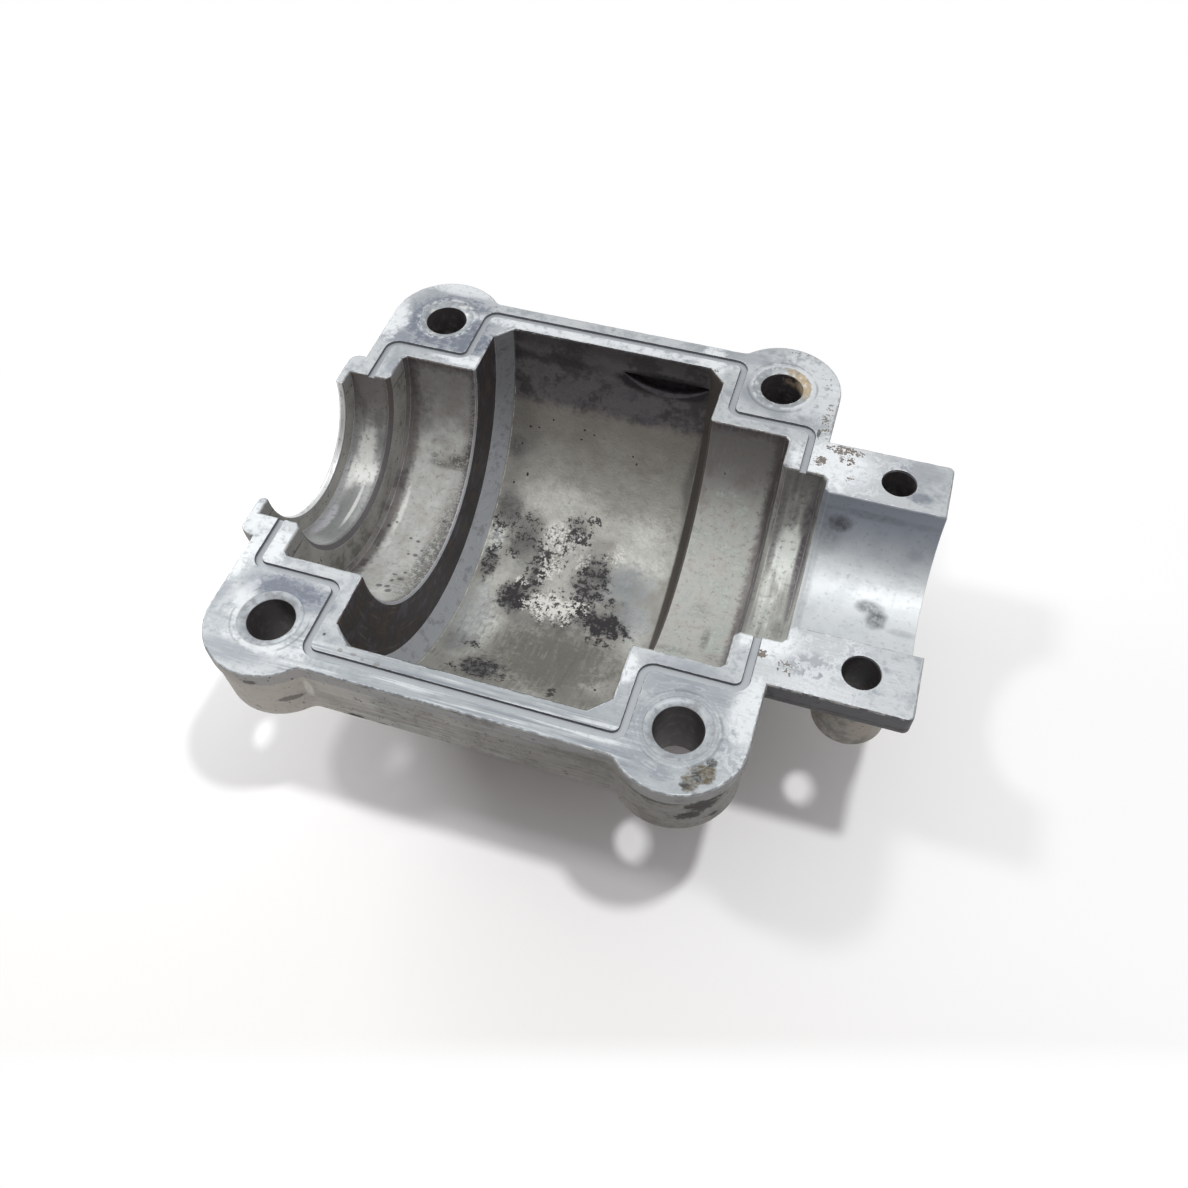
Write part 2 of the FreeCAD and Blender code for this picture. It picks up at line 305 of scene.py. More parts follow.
grooveLook = {
    "wall": (98, 101, 105), "floor": (170, 175, 179), "dirtAndShade": (80, 80, 83), "floorRise": (0.09, 0.04),
}


def grooveMetal():
    look = grooveLook
    shade = Shade("grooveMetal", look["wall"], 0.25, 0.5)
    grain = shade.noise(1.6, 3.0, 0.6)
    # painted shade: the walls keep the dark base tone, and only the floor gets the light tone
    shade.layer(shade.step(shade.z + grooveDepth, *look["floorRise"]) * 0.85, look["floor"])
    # a light speckle of real dirt
    shade.layer(shade.step(grain, 0.5, 0.74) * 0.12, look["dirtAndShade"], 0.0, 0.8)
    # painted shade along the groove's rounded edges and corners
    shade.layer(shade.rim() * 0.6, look["dirtAndShade"], 0.1, 0.7)
    return shade.done()


boltLook = {
    "wall": (76, 72, 73), "mouth": (152, 158, 162), "tan": (172, 156, 128), "shade": (40, 37, 38),
    "wornWall": (112, 106, 104), "mouthGrime": (120, 120, 122), "mouthGlint": (214, 212, 200),
    "shadeFrom": (-1.0, -5.0), "mouthFrom": (-0.42, -0.3), "farFrom": (4, 10),
    "tanDepth": (-2.4, -1.2), "tanLean": (30.5, 32.0), "tanFrom": (19, 21),
}


def boltHoleMetal():
    look = boltLook
    shade = Shade("boltHoleMetal", look["wall"], 0.3, 0.45)
    x, y, z = shade.x, shade.y, shade.z
    grain = shade.noise(0.9, 3.0, 0.6)
    far = shade.step(y, *look["farFrom"])
    deep = shade.step(z + (grain - 0.5) * 3, *look["shadeFrom"])
    shade.layer(deep * (0.35 + far * 0.65), look["shade"], 0.1, 0.6)
    shade.layer(shade.step(grain, 0.5, 0.66) * 0.35, look["wornWall"])
    mouth = shade.step(z, *look["mouthFrom"])
    shade.layer(mouth, look["mouth"], 0.35, 0.5)
    tanSide = shade.step(x * 0.7 + y * 0.5 + (grain - 0.5) * 6, *look["tanLean"])
    tanSide = tanSide * shade.step(y, *look["tanFrom"])
    shade.layer(shade.step(z, *look["tanDepth"]) * tanSide, look["tan"], 0.1, 0.6)
    shade.layer(shade.step(grain, 0.48, 0.62) * mouth * 0.6, look["mouthGrime"], 0.1, 0.6)
    glint = shade.step(grain, 0.44, 0.36) * mouth * 0.5
    shade.layer(glint * (0.3 + far * 0.7), look["mouthGlint"], 0.1, 0.6)
    return shade.done()


castLook = {
    "base": (146, 145, 140), "pale": (172, 171, 167), "dark": (98, 95, 90), "streak": (172, 175, 171),
    "soot": (42, 38, 35), "lipTone": (146, 147, 148), "edge": (184, 184, 181), "warm": (184, 178, 169),
    "seam": (66, 62, 58), "earEdge": (66, 66, 72), "postTan": (150, 139, 124), "sheen": (205, 203, 196),
    "nearFrom": (-24.0, -28.0), "darkAlong": (-8, 12), "darkEnd": (46, 30), "warmAlong": (-8.0, -20.0),
    "lipDepth": (-2.1, -1.8), "seamDepth": 2.1,
    "earAlong": (30.5, 31.5), "earFrom": (-14.5, -16.0), "earDepth": (-3.4, -2.6),
    "postAlong": (33, 35), "postDepth": (-3.2, -3.8),
    "dirtSpots": [(27.8, -3.4, 1.5, 1.6, 1.0), (26.6, -5.6, 1.4, 0.9, 1.0), (28.9, -7.2, 0.4, 0.4, 1.0),
                  (-22.6, -1.4, 0.8, 0.4, 0.7), (-19.6, -5.8, 1.2, 0.5, 0.6), (-13.0, -9.0, 1.3, 0.5, 1.0),
                  (-9.6, -9.1, 0.8, 0.3, 1.0), (-11.4, -9.3, 0.6, 0.3, 0.9), (22.0, -2.4, 4.0, 0.5, 0.6),
                  (40.6, -5.2, 0.5, 2.2, 0.8)],
    "sheenSpot": (-17.6, -4.6, 0.4, 1.6, 0.6),
}


def castSkinMetal():
    look = castLook
    shade = Shade("castSkinMetal", look["base"], 0.2, 0.56)
    x, y, z = shade.x, shade.y, shade.z
    cloud = shade.noise(6.0, 3.0, 0.6)
    grain = shade.noise(1.0, 3.0, 0.62, shift=(4, 1, 8))
    fine = shade.noise(0.3, 2.0, 0.6, shift=(2, 6, 5))
    ragged = (grain - 0.5) * 3.6 + (fine - 0.5) * 2.0
    shade.layer(shade.step(cloud, 0.46, 0.68) * 0.7, look["pale"], 0.25)
    shade.layer(shade.step(cloud + (grain - 0.5) * 0.6, 0.5, 0.32) * 0.75, look["dark"], 0.1, 0.62)
    near = shade.step(y, *look["nearFrom"])
    streak = shade.noise(0.5, 2.0, 0.5, shift=(3, 1, 1), stretch=(22, 1, 1))
    shade.layer(near * shade.step(streak, 0.52, 0.66) * 0.5, look["streak"], 0.25)
    shade.layer(near * shade.step(streak, 0.46, 0.34) * 0.35, look["dark"], 0.2)
    darker = shade.step(x + (grain - 0.5) * 6, *look["darkAlong"]) * shade.step(x, *look["darkEnd"])
    shade.layer(near * darker * 0.6, look["dark"], 0.2)
    shade.layer(near * shade.step(x, *look["warmAlong"]) * 0.7, look["warm"], 0.25)
    shade.layer(shade.step(z, *look["lipDepth"]) * shade.step(cloud, 0.3, 0.5) * 0.7, look["lipTone"], 0.3)
    earSide = shade.step(x + (grain - 0.5) * 2, *look["earAlong"]) * shade.step(y, *look["earFrom"])
    shade.layer(earSide * shade.step(z, *look["earDepth"]) * 0.85, look["earEdge"], 0.2, 0.55)
    post = shade.step(x, *look["postAlong"]) * shade.step(z, *look["postDepth"])
    shade.layer(post * shade.step(cloud, 0.35, 0.5) * 0.6, look["postTan"])
    seam = shade.step(abs(z + look["seamDepth"]), 0.2, 0.05) * shade.step(grain, 0.38, 0.52)
    shade.layer(seam * 0.8, look["seam"], 0.1, 0.7)
    shade.layer(near * shade.patches(x, z, look["dirtSpots"], ragged, 0.5), look["soot"], 0.0, 0.7)
    shade.layer(near * shade.patch(x, z, look["sheenSpot"], ragged * 0.3, 0.7), look["sheen"], 0.3, 0.4)
    shade.layer(shade.step(grain * 0.6 + fine * 0.5, 0.63, 0.69) * 0.55, look["dark"], 0.1, 0.7)
    sooty = shade.step(grain * 0.7 + fine * 0.5 + (cloud - 0.5) * 0.4, 0.75, 0.8)
    shade.layer(sooty * 0.6, look["soot"], 0.0, 0.8)
    shade.layer(shade.rim() * shade.step(grain, 0.38, 0.6) * 0.6, look["edge"], 0.35, 0.45)
    shade.height = grain * 0.14 + fine * 0.035
    return shade.done()


chamberLook = {
    "base": (160, 159, 153), "warm": (138, 136, 128), "farWallDark": (98, 95, 88), "upper": (92, 89, 92),
    "darkGrey": (48, 45, 47), "milky": (216, 218, 212), "white": (228, 227, 221), "black": (38, 36, 39),
    "smoke": (88, 89, 88), "deep": (62, 60, 62), "blue": (130, 138, 144), "oval": (92, 90, 82),
    "violet": (84, 81, 88), "hollowShadeTone": (34, 32, 35), "hollowInsideShade": (60, 57, 61),
    "leftRing": (172, 176, 182), "rightRingShade": (76, 71, 66),
    "wallReach": (26.62, 26.42), "leftRingFrom": (-13.5, -13.9), "rightRingShadeFrom": (13.5, 13.9),
    "ringShade": (42, 74), "hollowReach": (26.72, 26.8), "perDegree": 0.46,
    "farWallDarkFrom": (36, 62), "wipedFrom": (0, -7), "stainFrom": (64.5, 68.9), "violetEnd": (84, 74),
    "darkBand": 81.6, "darkBandAlong": (2, -5), "topDarkFrom": (83, 88), "nearShade": (-46, -62), "rimAlong": (-4, -13),
    "hollowShadowSpots": [(8.0, 80.2, 7.0, 3.8, 1.0), (4.6, 80.3, 3.4, 3.2, 1.0), (11.6, 80.3, 2.6, 3.4, 1.0)],
    "dots": [(-11, 58, 0.2, 0.35), (-9.7, 58.3, 0.16, 0.3), (-2.9, 60.5, 0.2, 0.35), (-1.4, 59.6, 0.14, 0.3),
             (-3.2, 57.4, 0.2, 0.25), (-7.7, 61.6, 0.14, 0.3), (5.4, 53.5, 0.16, 0.4), (4.7, 55.6, 0.12, 0.3),
             (-10.3, 43, 0.16, 0.6), (-12.1, 39.6, 0.14, 0.4), (-11.9, 52.2, 0.14, 0.3),
             (9.3, -24.6, 0.2, 0.5)],
    "milkySpots": [(-4.4, 36, 6.4, 6.0, 0.6), (-2.6, 27, 3.6, 7.0, 0.75), (9.4, 26, 4.0, 11.0, 0.9),
                   (-0.6, 12, 3.4, 10.0, 0.35), (-12.6, 20, 1.4, 9.0, 0.7), (3.0, 33, 5.0, 4.0, 0.5),
                   (-10.2, -8, 3.4, 14.0, 0.9), (8.0, -21, 2.4, 8.0, 0.6), (11.5, 2, 1.8, 8.0, 0.6),
                   (-10.8, 6, 2.4, 5.0, 0.6), (-8.0, 15, 2.0, 3.0, 0.5)],
    "smokeSpots": [(-11.8, 31, 2.2, 6.5, 1.0), (-8.4, 25, 2.8, 6.5, 1.0), (-7.0, 17, 2.2, 5.0, 0.9),
                   (-12.6, 51, 1.4, 3.5, 0.9), (-12.8, 70, 1.8, 3.5, 0.8), (-12.2, 12, 1.3, 6.0, 0.8),
                   (-6.8, 3, 2.8, 5.5, 1.0), (-4.8, 12, 1.6, 7.0, 0.8), (3.0, 15, 2.8, 9.0, 0.9),
                   (5.6, 2, 4.6, 4.6, 1.0), (-11.0, -19, 2.4, 4.5, 0.7), (-6.2, -28, 3.0, 6.0, 1.0),
                   (-1.4, 28, 2.0, 5.0, 0.6), (7.4, 8, 2.0, 3.0, 0.7), (-3.0, -3, 6.6, 2.6, 0.6),
                   (8.2, 17, 2.6, 5.0, 0.45)],
    "deepSpots": [(-7.0, 3, 2.2, 5.0, 0.9), (7.0, 0, 2.8, 4.2, 1.0), (2.8, 3, 1.6, 3.0, 0.8),
                  (-5.0, 12, 1.2, 7.0, 0.6),
                  (3.4, 14, 2.0, 7.0, 0.6), (-6.2, -28.4, 2.8, 4.6, 0.7), (-12.2, 12, 1.0, 5.0, 0.5),
                  (-1.0, 30, 1.4, 4.0, 0.5), (-8.6, 20, 2.4, 4.0, 0.4), (-11.6, 31, 1.6, 4.0, 0.4)],
    "blueSpots": [(8.4, 15, 3.6, 7.0, 0.8), (10.4, 5, 2.6, 6.0, 0.8), (-11.4, -10, 2.4, 13.0, 0.6),
                  (-12.6, 20, 0.8, 6.0, 0.7)],
    "ovalSpots": [(2.0, -17, 8.6, 14.5, 1.0), (6.5, -30, 4.4, 7.0, 0.7), (-4.6, -33, 5.0, 4.0, 0.7)],
    "speckSpots": [(-0.8, 29, 2.0, 5.5, 0.75), (0.9, 32.4, 1.2, 2.0, 0.8), (-5.3, 14, 1.9, 10.0, 0.7),
                   (-8.6, 26, 3.4, 5.0, 0.5), (3.3, 14, 2.4, 8.5, 0.75), (-6.9, 4, 2.2, 4.6, 1.0),
                   (2.0, 7, 1.8, 3.0, 0.85), (6.8, 0.4, 3.0, 4.0, 1.2), (4.2, 2.8, 1.6, 2.6, 1.0),
                   (-6.2, -28.6, 2.6, 4.8, 0.8), (-12.0, 13, 1.2, 5.5, 0.7), (-9.4, -18.8, 1.4, 1.4, 0.7),
                   (0.0, 3, 4.6, 6.0, 0.42), (-12.4, 26, 1.6, 3.0, 0.6), (4.3, -31.6, 0.6, 2.4, 1.0),
                   (7.2, -5.2, 2.0, 1.6, 0.6), (-6.0, -31, 4.6, 2.6, 0.55), (-3.2, 22, 2.6, 9.0, 0.4),
                   (7.0, 9, 1.4, 2.0, 0.6), (-9.4, 17, 1.4, 2.0, 0.6)],
    "whiteSpots": [(-1.2, 2.4, 4.2, 5.2, 0.8), (1.6, 4.6, 2.4, 3.4, 0.8), (-3.4, 17.0, 2.0, 10.0, 0.45),
                   (0.6, 20.0, 1.6, 5.0, 0.35), (-3.0, 26.0, 3.0, 5.0, 0.5), (5.6, 24.0, 2.0, 4.0, 0.45),
                   (-12.6, 22.0, 1.2, 5.0, 0.6), (-6.8, 9, 1.4, 2.0, 0.5)],
}


def chamberMetal():
    look = chamberLook
    shade = Shade("chamberMetal", look["base"], 0.2, 0.6)
    x = shade.x
    turn, reach = shade.turn(), shade.reach()
    cloud = shade.noise(5.0, 2.0, 0.6)
    wear = shade.noise(2.2, 4.0, 0.68, shift=(1, 8, 3))
    grain = shade.noise(0.8, 3.0, 0.7, shift=(5, 3, 2))
    fine = shade.noise(0.3, 1.0, 0.5, shift=(8, 1, 6))
    ragged = (grain - 0.5) * 3.0 + (wear - 0.5) * 3.6
    shade.layer(shade.step(cloud, 0.4, 0.62) * 0.5, look["warm"])
    shade.layer(shade.step(wear + (grain - 0.5) * 0.5, 0.52, 0.7) * 0.4, look["warm"])
    # darker higher up the far wall, from 36 to 62 degrees
    shade.layer(shade.step(turn + (wear - 0.5) * 18, *look["farWallDarkFrom"]) * 0.62, look["farWallDark"], 0.15)
    milky = shade.patches(x, turn, look["milkySpots"], ragged, 0.98)
    shade.layer(milky * (0.5 + shade.step(grain, 0.4, 0.62) * 0.4), look["milky"], 0.1, 0.65)
    shade.layer(shade.patches(x, turn, look["blueSpots"], ragged, 0.98) * 0.75, look["blue"], 0.3, 0.5)
    shade.layer(shade.patches(x, turn, look["ovalSpots"], ragged * 0.8, 0.8) * 0.82, look["oval"], 0.15, 0.55)
    unrolled = shade.vector(x, turn * look["perDegree"], 0.0)
    wiped = shade.noise(0.5, 2.0, 0.55, shift=(3, 3, 0), stretch=(1, 9, 1), place=unrolled) * 0.6 + wear * 0.4
    low = shade.step(turn + (wear - 0.5) * 8, *look["wipedFrom"])
    shade.layer(low * shade.step(wiped, 0.52, 0.64) * 0.4, look["smoke"])
    shade.layer(low * shade.step(wiped, 0.47, 0.36) * 0.3, look["base"])
    smoke = shade.patches(x, turn, look["smokeSpots"], ragged, 0.98)
    smoke = smoke * (0.5 + shade.step(grain + (fine - 0.5) * 0.3, 0.42, 0.58) * 0.4)
    shade.layer(smoke, look["smoke"], 0.1, 0.6)
    deep = shade.patches(x, turn, look["deepSpots"], ragged, 0.95)
    shade.layer(deep * (0.7 + shade.step(grain, 0.6, 0.45) * 0.3), look["deep"], 0.05, 0.7)
    flakes = shade.patches(x, turn, look["whiteSpots"], ragged, 0.95)
    flaked = shade.step(grain * 0.65 + fine * 0.35 + flakes * 0.18, 0.56, 0.68)
    shade.layer(flaked * shade.step(flakes, 0.05, 0.4) * 0.8, look["white"], 0.0, 0.85)
    burnt = shade.patches(x, turn, look["speckSpots"], ragged, 0.95)
    specks = 1 - grain * 0.65 - fine * 0.35
    dark = shade.step(specks + burnt * 0.17, 0.57, 0.67) * shade.step(burnt, 0.05, 0.4)
    shade.layer(dark * 0.9, look["black"], 0.0, 0.8)
    shade.layer(shade.step(specks, 0.6, 0.7) * 0.45, look["smoke"], 0.1, 0.7)
    shade.layer(shade.patches(x, turn, look["dots"], ragged * 0.25, 0.5), look["black"], 0.0, 0.7)
    edge = turn + (wear - 0.5) * 6.0 + (grain - 0.5) * 1.6
    above = shade.step(edge, *look["stainFrom"])
    shade.layer(above * 0.9, look["upper"], 0.15, 0.5)
    shade.layer(above * shade.step(cloud + (grain - 0.5) * 0.6, 0.46, 0.62) * 0.7, look["darkGrey"], 0.1, 0.45)
    violet = above * shade.step(wear, 0.5, 0.64) * shade.step(turn, *look["violetEnd"])
    shade.layer(violet * 0.5, look["violet"], 0.2, 0.5)
    # a darker band round the far wall, left of the hollow
    darkBand = shade.step(abs(edge - look["darkBand"]), 2.6, 0.4) * shade.step(x, *look["darkBandAlong"])
    shade.layer(darkBand * 0.75, look["darkGrey"])
    # the top edge of the far wall darkened along its whole length
    shade.layer(shade.step(edge, *look["topDarkFrom"]) * 0.5, look["darkGrey"], 0.1, 0.45)
    # painted shadow: a soft black patch on the wall round the hollow stands in for the hollow's shade
    hollowShadow = shade.patches(x, turn, look["hollowShadowSpots"], (grain - 0.5) * 1.2, 0.45)
    shade.layer(hollowShadow, look["hollowShadeTone"], 0.0, 0.9)
    shade.layer(shade.step(turn, *look["nearShade"]) * 0.8, look["upper"], 0.15, 0.5)
    bare = shade.step(reach, *look["wallReach"])
    left = bare * shade.step(x, *look["leftRingFrom"])
    shade.layer(left * 0.92, look["leftRing"], 0.35, 0.45)
    shade.layer(left * shade.step(wear + (grain - 0.5) * 0.5, 0.52, 0.66) * 0.35, look["violet"], 0.2, 0.5)
    shade.layer(left * shade.step(specks, 0.63, 0.72) * 0.45, look["darkGrey"], 0.1, 0.6)
    shaded = left * shade.step(turn + (cloud - 0.5) * 20, *look["ringShade"])
    shade.layer(shaded * 0.55, look["smoke"], 0.25, 0.5)
    # painted shade: the chamfer ring at the right end of the chamber is drawn dark
    shade.layer(bare * shade.step(x, *look["rightRingShadeFrom"]) * 0.9, look["rightRingShade"], 0.2, 0.5)
    rubbed = shade.rim() * shade.step(x, *look["rimAlong"]) * shade.step(grain, 0.4, 0.6)
    shade.layer(rubbed * 0.6, look["milky"], 0.5, 0.4)
    # painted shade: the inside of the hollow gets a dark tone with darker specks
    inside = shade.step(reach, *look["hollowReach"])
    shade.layer(inside, look["hollowInsideShade"], 0.0, 0.9)
    shade.layer(inside * shade.step(grain, 0.44, 0.6) * 0.7, look["hollowShadeTone"], 0.0, 0.9)
    shade.height = grain * 0.1 + fine * 0.02
    return shade.done()


shoulderLook = {
    "base": (58, 53, 54), "rust": (80, 66, 55), "violet": (78, 71, 84), "rub": (126, 122, 121),
    "dust": (92, 86, 80), "soot": (34, 31, 31), "perDegree": 0.35,
}


def shoulderMetal():
    look = shoulderLook
    shade = Shade("shoulderMetal", look["base"], 0.2, 0.45)
    grain = shade.noise(0.8, 4.0, 0.7)
    cloud = shade.noise(3.2, 3.0, 0.6, shift=(2, 2, 5))
    unrolled = shade.vector(shade.reach(), shade.turn() * look["perDegree"], shade.x)
    rings = shade.noise(0.35, 1.0, 0.5, stretch=(1, 12, 1), place=unrolled)
    shade.layer(shade.step(cloud, 0.5, 0.66) * 0.7, look["rust"], 0.1, 0.5)
    shade.layer(shade.step(cloud, 0.48, 0.34) * 0.75, look["violet"], 0.3, 0.36)
    shade.layer(shade.step(rings, 0.58, 0.74) * 0.35, look["rub"], 0.4, 0.4)
    shade.layer(shade.step(grain, 0.56, 0.66) * 0.45, look["dust"], 0.1, 0.6)
    shade.layer(shade.step(grain, 0.42, 0.34) * 0.7, look["soot"], 0.1, 0.5)
    shade.layer(shade.rim() * shade.step(grain, 0.36, 0.6) * 0.25, look["rub"], 0.3, 0.5)
    shade.height = grain * 0.06
    return shade.done()


seatLook = {
    "base": (172, 173, 170), "cool": (150, 154, 158), "warm": (156, 152, 143), "upper": (102, 98, 97),
    "edge": (74, 66, 68), "pit": (56, 54, 51), "bright": (232, 233, 230), "smudge": (92, 92, 87),
    "moss": (144, 150, 143), "pale": (192, 195, 190),
    "rightFrom": (-4, 4), "upperFrom": (40, 72), "edgeFrom": (84, 89), "perDegree": 0.305,
    "leftCorner": (23.9, 25.2), "rightCorner": (24.2, 25.4), "innerCorner": (17.5, 16.4),
    "pits": [(-17.5, 14.8, 0.35, 0.7), (-21.1, 2.6, 0.25, 0.6), (-19.9, 1.8, 0.3, 0.7),
             (-19.3, -6, 0.35, 0.9), (-20.3, -6.2, 0.2, 0.6), (-20.2, -21, 0.35, 0.7),
             (-19.0, -23.4, 0.5, 1.4), (-19.9, -26, 0.25, 1.2),
             (-18.8, -2.6, 0.2, 0.6), (-19.1, -18, 0.25, 0.7), (-24.0, 9, 0.2, 0.6), (-20.7, -33, 0.4, 1.6),
             (-19.7, -32, 0.35, 1.4), (-19.0, -36, 0.4, 2.0), (-24.9, 6.4, 0.3, 0.8), (19, 65, 0.12, 0.6)],
    "smudges": [(-21.4, 44, 0.6, 1.2, 0.9), (-18.0, 43, 1.7, 3.4, 1.5), (-16.8, 46, 0.8, 6.0, 1.3),
                (-19.8, 41, 2.0, 2.0, 1.0),
                (-23.4, 66, 1.2, 12.0, 0.5), (-17.5, -6, 1.3, 34.0, 1.0), (-18.6, -24, 1.6, 10.0, 0.6),
                (21.9, -13, 0.5, 7.0, 0.6), (20.4, 3, 1.2, 4.0, 0.3), (17.6, -24, 4.0, 2.0, 0.4),
                (23.6, -23, 1.2, 3.0, 0.5)],
    "paintedHighlights": [(-24.0, 14, 0.4, 12.0, 0.6), (-24.0, 0, 0.5, 9.0, 0.3)],
}


def seatMetal():
    look = seatLook
    shade = Shade("seatMetal", look["base"], 0.18, 0.66)
    x = shade.x
    turn = shade.turn()
    unrolled = shade.vector(x, turn * look["perDegree"], 0.0)
    cloud = shade.noise(3.0, 3.0, 0.6, place=unrolled)
    grain = shade.noise(0.8, 4.0, 0.72, place=unrolled, shift=(4, 4, 0))
    fine = shade.noise(0.3, 2.0, 0.6, place=unrolled, shift=(7, 1, 0))
    turned = shade.noise(0.26, 1.0, 0.5, place=unrolled, stretch=(1, 14, 1), shift=(2, 9, 0))
    ragged = (grain - 0.5) * 4.0 + (cloud - 0.5) * 2.4
    right = shade.step(x, *look["rightFrom"])
    left = 1 - right
    shade.layer(shade.step(cloud + (grain - 0.5) * 0.5, 0.46, 0.66) * 0.6, look["warm"], 0.2, 0.6)
    shade.layer(right * shade.step(cloud + (grain - 0.5) * 0.4, 0.54, 0.38) * 0.8, look["moss"])
    shade.layer(shade.step(grain + (fine - 0.5) * 0.4, 0.54, 0.7) * 0.4, look["smudge"])
    shade.layer(shade.step(cloud * 0.6 + grain * 0.4, 0.5, 0.38) * 0.5, look["pale"])
    smudged = shade.patches(x, turn, look["smudges"], ragged, 0.95)
    smudged = smudged * (0.3 + shade.step(grain * 0.7 + fine * 0.3, 0.44, 0.54) * 0.6)
    shade.layer(smudged, look["smudge"], 0.2, 0.6)
    # painted highlight: a light strip along the left end of the left seat
    shade.layer(shade.patches(x, turn, look["paintedHighlights"], ragged * 0.5, 0.9) * 0.8, look["bright"], 0.35, 0.45)
    high = shade.step(turn + (cloud - 0.5) * 26, *look["upperFrom"])
    shade.layer(high * (0.6 + right * 0.2), look["upper"], 0.2, 0.5)
    shade.layer(shade.step(turn + (grain - 0.5) * 8, *look["edgeFrom"]) * 0.7, look["edge"], 0.1, 0.5)
    outer = abs(x) + (grain - 0.5) * 1.6
    corner = left * shade.step(outer, *look["leftCorner"]) * (0.6 + shade.step(cloud, 0.6, 0.4) * 0.3)
    shade.layer(corner, look["edge"], 0.15, 0.5)
    shade.layer(right * shade.step(outer, *look["rightCorner"]) * 0.75, look["edge"], 0.15, 0.5)
    inner = shade.step(outer, *look["innerCorner"]) * left
    inner = inner * (0.3 + shade.step(grain * 0.6 + fine * 0.4, 0.44, 0.54) * 0.6)
    shade.layer(inner, look["edge"], 0.15, 0.55)
    shade.layer(shade.patches(x, turn, look["pits"], ragged * 0.4, 0.6) * 0.75, look["pit"], 0.0, 0.7)
    shade.layer(shade.step(turned, 0.58, 0.74) * 0.25, look["cool"])
    shade.layer(shade.rim() * shade.step(grain, 0.36, 0.6) * 0.15, look["bright"], 0.3, 0.5)
    shade.height = grain * 0.05 + turned * 0.012
    return shade.done()


sealLook = {
    "base": (152, 154, 153), "green": (104, 109, 106), "bright": (218, 219, 215), "dark": (78, 73, 76),
    "landBase": (158, 160, 154), "landDark": (110, 110, 105), "landBright": (208, 212, 207),
    "brown": (94, 87, 83), "polish": (186, 187, 192), "streak": (134, 134, 136),
    "rightFrom": (-4, 4), "landShade": (50, 76), "cornerFrom": (-27.6, -26.8), "brownFrom": (46, 74),
    "perDegree": 0.22,
    "poolSpots": [(-29.6, -2, 1.2, 20.0, 0.8), (-28.0, 46, 1.0, 8.0, 0.8), (-28.6, -22, 1.8, 14.0, 0.9),
                  (-28.2, 60, 0.8, 6.0, 0.9), (-30.4, 66, 0.4, 8.0, 0.7), (-29.3, 0, 1.6, 9.0, 0.7)],
    "polishSpots": [(-31.0, -16, 0.9, 16.0, 1.0), (-31.6, 10, 0.3, 26.0, 0.8)],
    "highlightSpots": [(-28.9, 26, 1.9, 8.0, 1.0), (-30.6, 24, 0.9, 10.0, 0.7), (-28.5, 2, 0.25, 16.0, 0.8),
                    (-29.4, 40, 1.2, 14.0, 0.9)],
    "landMarks": [(26.8, -8, 0.5, 16.0, 0.5), (31.2, 36, 0.6, 42.0, 1.3), (31.0, 58, 0.9, 12.0, 1.2),
                  (27.0, 56, 1.2, 18.0, 0.9), (26.4, 10, 0.5, 34.0, 0.8), (29.1, 58, 0.6, 8.0, 0.8),
                  (28.9, 13, 0.5, 5.0, 0.5),
                  (27.4, 36, 0.4, 14.0, 0.7), (30.2, 10, 0.5, 12.0, 0.35), (30.6, -14, 1.0, 8.0, 0.5)],
    "landPale": [(29.3, 37, 1.5, 16.0, 1.0), (29.7, 24, 1.1, 9.0, 0.6), (28.2, 6, 1.0, 16.0, 0.35)],
}


